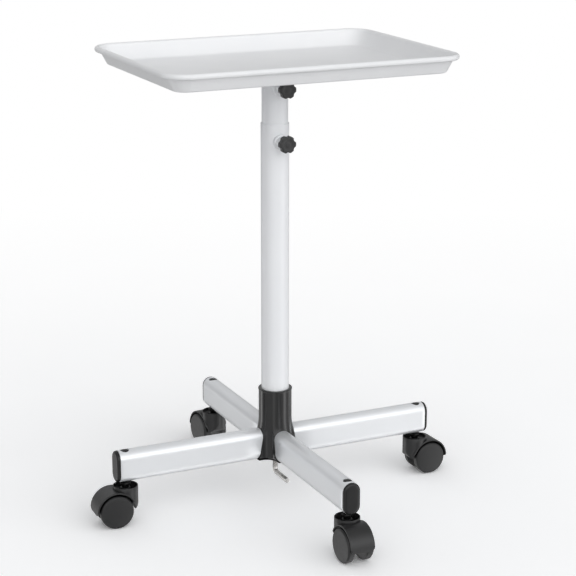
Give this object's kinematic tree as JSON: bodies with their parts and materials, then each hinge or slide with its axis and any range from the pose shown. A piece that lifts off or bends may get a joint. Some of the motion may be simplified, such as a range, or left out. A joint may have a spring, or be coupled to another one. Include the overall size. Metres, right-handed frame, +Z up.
{
  "type": "instrument cart",
  "caption": "Height-adjustable instrument cart: shallow rectangular tray on a telescoping post over a cross base on hooded twin-wheel swivel casters.",
  "frame": {"origin": "on the post axis at floor level, under the centre of the cross base", "axes": "+Z up along the post; +X along the tray's long side; -Y is the side both star knobs face"},
  "size_m": [0.5906, 0.5913, 0.6945],
  "materials": {
    "tray_white": "smooth white moulded plastic with a soft satin sheen",
    "post_silver": "fine satin, pale silver",
    "arm_silver": "satin anodised extrusion",
    "satin_silver": "satin silver paint",
    "black_plastic": "fine moulded texture, satin black",
    "caster_plastic": "fine moulded texture, satin charcoal black",
    "wheel_plastic": "smooth satin charcoal nylon",
    "plated_steel": "bright zinc plate"
  },
  "bodies": {
    "base": {"cross_hub": "black_plastic", "lower_post_tube": "post_silver", "post_plug": "plated_steel", "lower_knob_boss": "satin_silver", "arm_front": "arm_silver", "arm_end_cap_front": "black_plastic", "stem_nut_front": "plated_steel", "arm_hole_plug_front": "black_plastic", "caster_stem_front": "plated_steel", "arm_right": "arm_silver", "arm_end_cap_right": "black_plastic", "stem_nut_right": "plated_steel", "arm_hole_plug_right": "black_plastic", "caster_stem_right": "plated_steel", "arm_back": "arm_silver", "arm_end_cap_back": "black_plastic", "stem_nut_back": "plated_steel", "arm_hole_plug_back": "black_plastic", "caster_stem_back": "plated_steel", "arm_left": "arm_silver", "arm_end_cap_left": "black_plastic", "stem_nut_left": "plated_steel", "arm_hole_plug_left": "black_plastic", "caster_stem_left": "plated_steel"},
    "upper_post": {"upper_post_tube": "post_silver", "post_glide": "black_plastic", "upper_knob_boss": "satin_silver"},
    "tray_top": {"tray": "tray_white", "tray_mount": "satin_silver", "tray_screw_front_left": "plated_steel", "tray_screw_front_right": "plated_steel", "tray_screw_back_left": "plated_steel", "tray_screw_back_right": "plated_steel"},
    "lower_knob": {"lower_star_knob": "black_plastic", "lower_knob_stud": "plated_steel"},
    "upper_knob": {"upper_star_knob": "black_plastic", "upper_knob_stud": "plated_steel"},
    "hub_bolt": {"hub_l_bolt": "plated_steel", "hub_nut": "plated_steel", "hub_washer": "plated_steel"},
    "caster_front": {"caster_hood_front": "caster_plastic", "caster_axle_front": "plated_steel"},
    "wheel_front_a": {"caster_wheel_front_a": "wheel_plastic"},
    "wheel_front_b": {"caster_wheel_front_b": "wheel_plastic"},
    "caster_right": {"caster_hood_right": "caster_plastic", "caster_axle_right": "plated_steel"},
    "wheel_right_a": {"caster_wheel_right_a": "wheel_plastic"},
    "wheel_right_b": {"caster_wheel_right_b": "wheel_plastic"},
    "caster_back": {"caster_hood_back": "caster_plastic", "caster_axle_back": "plated_steel"},
    "wheel_back_a": {"caster_wheel_back_a": "wheel_plastic"},
    "wheel_back_b": {"caster_wheel_back_b": "wheel_plastic"},
    "caster_left": {"caster_hood_left": "caster_plastic", "caster_axle_left": "plated_steel"},
    "wheel_left_a": {"caster_wheel_left_a": "wheel_plastic"},
    "wheel_left_b": {"caster_wheel_left_b": "wheel_plastic"}
  },
  "joints": [
    {"name": "post_height", "type": "slide", "parent": "base", "child": "upper_post", "axis": [0, 0, 1], "range_m": [-0.038, 0.25]},
    {"name": "tray_swivel", "type": "hinge", "parent": "upper_post", "child": "tray_top", "pos_m": [0, 0, 0.65], "axis": [0, 0, 1], "continuous": true},
    {"name": "lower_knob_turn", "type": "hinge", "parent": "base", "child": "lower_knob", "pos_m": [0, -0.042, 0.562], "axis": [0, -1, 0], "range_deg": [0, 540]},
    {"name": "upper_knob_turn", "type": "hinge", "parent": "upper_post", "child": "upper_knob", "pos_m": [0, -0.042, 0.6417], "axis": [0, -1, 0], "range_deg": [0, 540]},
    {"name": "hub_bolt_turn", "type": "hinge", "parent": "base", "child": "hub_bolt", "pos_m": [0, 0, 0.06], "axis": [0, 0, -1], "range_deg": [0, 630]},
    {"name": "caster_swivel_front", "type": "hinge", "parent": "base", "child": "caster_front", "pos_m": [0, -0.2455, 0.055], "axis": [0, 0, 1], "continuous": true},
    {"name": "wheel_spin_front_a", "type": "hinge", "parent": "caster_front", "child": "wheel_front_a", "pos_m": [0.00049, -0.26409, 0.0254], "axis": [0.9997, 0.0262, 0], "continuous": true},
    {"name": "wheel_spin_front_b", "type": "hinge", "parent": "caster_front", "child": "wheel_front_b", "pos_m": [0.00049, -0.26409, 0.0254], "axis": [0.9997, 0.0262, 0], "continuous": true},
    {"name": "caster_swivel_right", "type": "hinge", "parent": "base", "child": "caster_right", "pos_m": [0.2455, 0, 0.055], "axis": [0, 0, 1], "continuous": true},
    {"name": "wheel_spin_right_a", "type": "hinge", "parent": "caster_right", "child": "wheel_right_a", "pos_m": [0.26409, 0.00065, 0.0254], "axis": [-0.0349, 0.9994, 0], "continuous": true},
    {"name": "wheel_spin_right_b", "type": "hinge", "parent": "caster_right", "child": "wheel_right_b", "pos_m": [0.26409, 0.00065, 0.0254], "axis": [-0.0349, 0.9994, 0], "continuous": true},
    {"name": "caster_swivel_back", "type": "hinge", "parent": "base", "child": "caster_back", "pos_m": [0, 0.2455, 0.055], "axis": [0, 0, 1], "continuous": true},
    {"name": "wheel_spin_back_a", "type": "hinge", "parent": "caster_back", "child": "wheel_back_a", "pos_m": [-0.00211, 0.26398, 0.0254], "axis": [-0.9936, -0.1132, 0], "continuous": true},
    {"name": "wheel_spin_back_b", "type": "hinge", "parent": "caster_back", "child": "wheel_back_b", "pos_m": [-0.00211, 0.26398, 0.0254], "axis": [-0.9936, -0.1132, 0], "continuous": true},
    {"name": "caster_swivel_left", "type": "hinge", "parent": "base", "child": "caster_left", "pos_m": [-0.2455, 0, 0.055], "axis": [0, 0, 1], "continuous": true},
    {"name": "wheel_spin_left_a", "type": "hinge", "parent": "caster_left", "child": "wheel_left_a", "pos_m": [-0.26408, 0.00088, 0.0254], "axis": [-0.0471, -0.9989, 0], "continuous": true},
    {"name": "wheel_spin_left_b", "type": "hinge", "parent": "caster_left", "child": "wheel_left_b", "pos_m": [-0.26408, 0.00088, 0.0254], "axis": [-0.0471, -0.9989, 0], "continuous": true}
  ]
}
